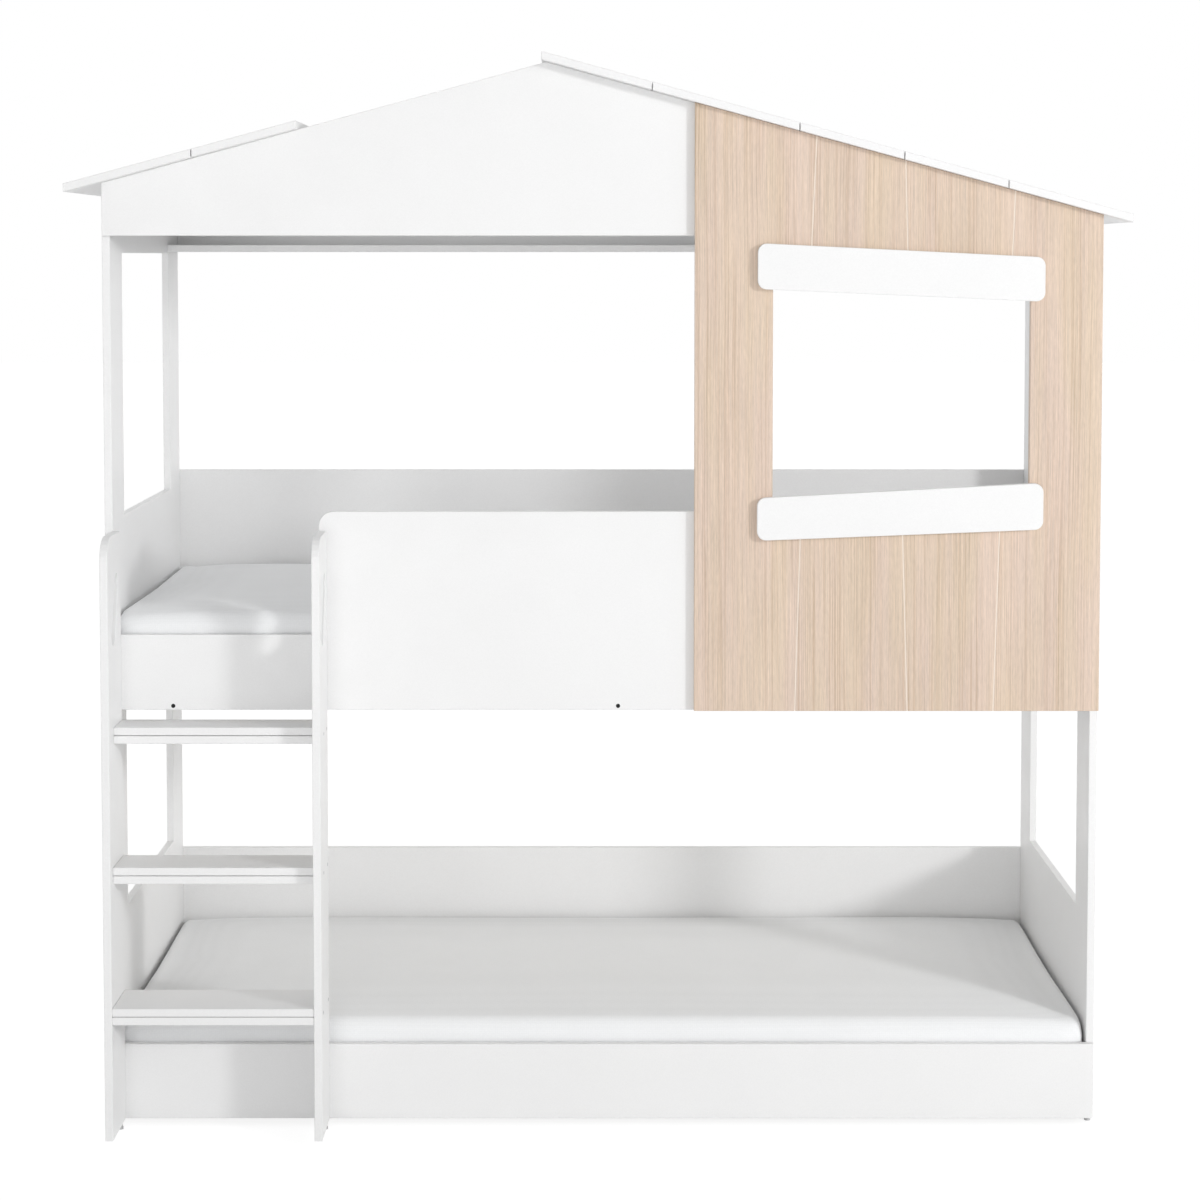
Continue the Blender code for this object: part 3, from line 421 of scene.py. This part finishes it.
def swollen_cover(node):
    """A mattress's mesh: the solid's closed form, drawn in a little and swollen by a cloth simulation."""
    low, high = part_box(node)
    bm = bmesh.new()
    bm.from_mesh(frame["nodes"][node].data)
    bmesh.ops.remove_doubles(bm, verts=bm.verts, dist=0.00002)
    mesh = bpy.data.meshes.new("cover")
    bm.to_mesh(mesh)
    bm.free()
    cover = bpy.data.objects.new("cover", mesh)
    bpy.context.scene.collection.objects.link(cover)
    remesh = cover.modifiers.new("even mesh", "REMESH")
    remesh.mode = "VOXEL"
    remesh.voxel_size = MATTRESS_GRAIN
    cover.data = applied(cover)
    middle = (low + high) / 2
    size = high - low
    for vert in cover.data.vertices:
        vert.co = Vector([m + (c - m) * (1 - 2 * MATTRESS_DRAWN_IN / s)
                          for c, m, s in zip(vert.co, middle, size)])
    start = [(vert.co.copy(), vert.normal.copy()) for vert in cover.data.vertices]
    cloth = cover.modifiers.new("swell", "CLOTH")
    cloth.settings.use_pressure = True
    cloth.settings.uniform_pressure_force = MATTRESS_PRESSURE
    cloth.settings.effector_weights.gravity = 0
    for number in range(1, MATTRESS_LAST_FRAME + 1):
        bpy.context.scene.frame_set(number)
    cover.data = applied(cover)
    bpy.context.scene.frame_set(1)
    # The cloth fills the form out, but it doesn't draw its edges in
    for vert, (place, outwards) in zip(cover.data.vertices, start):
        move = vert.co - place
        if move.length > MATTRESS_SWELL:
            move.length = MATTRESS_SWELL
        vert.co = place + move - min(move.dot(outwards), 0) * outwards
    # The swollen cover is brought to the solid's size again, a little proud of it
    proud = Vector((MATTRESS_PROUD, MATTRESS_PROUD, 0))
    low, high = low - proud, high + proud + Vector((0, 0, MATTRESS_RISE))
    for axis in range(3):
        places = [vert.co[axis] for vert in cover.data.vertices]
        least, most = min(places), max(places)
        for vert in cover.data.vertices:
            vert.co[axis] = low[axis] + (vert.co[axis] - least) * (high[axis] - low[axis]) / (most - least)
    # Seen from above and from the front, the corners are squarer than the solid's
    middle = (low + high) / 2
    for axes in ((0, 1), (0, 2)):
        straight = [(high[axis] - low[axis]) / 2 - MATTRESS_CORNER for axis in axes]
        for vert in cover.data.vertices:
            aside = [vert.co[axis] - middle[axis] for axis in axes]
            past = Vector([max(abs(part) - flat, 0) for part, flat in zip(aside, straight)])
            if min(past) > 0:
                shares = sum((part / past.length) ** MATTRESS_SQUARENESS for part in past)
                past *= shares ** (-1 / MATTRESS_SQUARENESS)
                for axis, part, flat, out in zip(axes, aside, straight, past):
                    vert.co[axis] = middle[axis] + copysign(flat + out, part)
    # The top falls gently towards the ends, and its front edge is a wide roll
    roll_middle = Vector((0, low.y + MATTRESS_ROLL, high.z - MATTRESS_ROLL - MATTRESS_ROLL_DROP))
    for vert in cover.data.vertices:
        to_end = min(vert.co.x - low.x, high.x - vert.co.x)
        height = (vert.co.z - low.z) / (high.z - low.z)
        from_middle = vert.co - roll_middle
        from_middle.x = 0
        if from_middle.y < 0 < from_middle.z and from_middle.length > MATTRESS_ROLL:
            vert.co += from_middle * (MATTRESS_ROLL / from_middle.length - 1)
        vert.co.z -= MATTRESS_END_FALL * (1 - min(to_end / MATTRESS_FALL_REACH, 1)) ** 2 * height
    mesh = cover.data
    bpy.data.objects.remove(cover)
    return mesh


def applied(made):
    """A new mesh with the object's modifiers applied, and the object without them."""
    made_mesh = bpy.data.meshes.new_from_object(made.evaluated_get(bpy.context.evaluated_depsgraph_get()))
    made.modifiers.clear()
    return made_mesh


def mattress(node, mesh, material):
    """The padded piece for one mattress, from a cover mesh made in its place."""
    bm = bmesh.new()
    bm.from_mesh(mesh)
    piece = new_piece(f"{node}_padded", bm, material, node, smooth_below=80)
    fine = piece.modifiers.new("smooth", "SUBSURF")
    fine.levels = fine.render_levels = 1
    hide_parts(node)


# Finishes of the CAD nodes

white = satin_melamine()
finishes = {
    "white_melamine": white,
    "wood_grain_melamine": oak_print_melamine(),
    "planed_pine": planed_pine("Planed pine battens", (0.06, 1, 1)),
    "zinc_plated_steel": small_steel("Zinc plated steel", "85878A", "9A9DA1", 0.35, 1.0),
    "black_oxide_steel": small_steel("Black oxide steel", "161617", "232324", 0.45, 0.6),
    "grey_plastic": moulded_polythene(),
    "mattress_cover": knitted_cover(),
}
for subpart in frame["record"]["subparts"]:
    node = frame["nodes"][subpart["node"]]
    for node_slot in node.material_slots:
        node_slot.material = finishes[subpart["material_slot"]]

pine_slats = planed_pine("Planed pine slats", (1, 0.06, 1))
tape = woven_tape()
for level in ("upper", "lower"):
    slatted_base(level, pine_slats, tape)

cover_mesh = swollen_cover("mattress_upper")
mattress("mattress_upper", cover_mesh, finishes["mattress_cover"])
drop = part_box("mattress_lower")[0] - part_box("mattress_upper")[0]
cover_mesh.transform(Matrix.Translation(drop))
mattress("mattress_lower", cover_mesh, finishes["mattress_cover"])


# Studio

bm = bmesh.new()
bmesh.ops.create_grid(bm, x_segments=1, y_segments=1, size=FLOOR_SIZE)
floor_mesh = bpy.data.meshes.new("studio_floor")
bm.to_mesh(floor_mesh)
bm.free()
floor = bpy.data.objects.new("studio_floor", floor_mesh)
bpy.context.scene.collection.objects.link(floor)
floor_mesh.materials.append(studio_floor())

world = bpy.data.worlds.new("White studio room")
bpy.context.scene.world = world
world.use_nodes = True
room = world.node_tree
room.nodes.clear()
way = add(room, "ShaderNodeTexCoord").outputs["Generated"]
glow = 0.0
for towards, wall in WALLS:
    ahead = add(room, "ShaderNodeVectorMath", {0: way, 1: towards}, operation="DOT_PRODUCT").outputs["Value"]
    facing = add(room, "ShaderNodeMath", {0: ahead, 1: 0.0}, operation="MAXIMUM").outputs[0]
    glow = add(room, "ShaderNodeMath", {0: facing, 1: wall, 2: glow}, operation="MULTIPLY_ADD").outputs[0]
strength = add(room, "ShaderNodeMapRange", {"Value": seen_share(room), "To Min": glow, "To Max": 1.0})
background = add(room, "ShaderNodeBackground", {"Color": (1, 1, 1, 1), "Strength": strength.outputs[0]})
add(room, "ShaderNodeOutputWorld", {"Surface": background.outputs[0]})

for name, (turn, rise, distance, size, power) in SOFTBOXES.items():
    turn, rise = radians(turn), radians(rise)
    lamp_data = bpy.data.lights.new(name, "AREA")
    lamp_data.shape = "DISK"
    lamp_data.size = size
    lamp_data.energy = power
    lamp = bpy.data.objects.new(name, lamp_data)
    bpy.context.scene.collection.objects.link(lamp)
    towards_lamp = Vector((sin(turn) * cos(rise), -cos(turn) * cos(rise), sin(rise)))
    lamp.location = Vector(SOFTBOX_AIM) + towards_lamp * distance
    lamp.rotation_euler = towards_lamp.to_track_quat("Z", "Y").to_euler()

camera_data = bpy.data.cameras.new("camera")
camera_data.lens = LENS
camera_data.shift_y = LENS_SHIFT
camera = bpy.data.objects.new("camera", camera_data)
bpy.context.scene.collection.objects.link(camera)
camera.location = CAMERA_PLACE
camera.rotation_euler = (radians(90) - CAMERA_DIP, 0, 0)
bpy.context.scene.camera = camera

bpy.context.scene.view_settings.view_transform = "Standard"
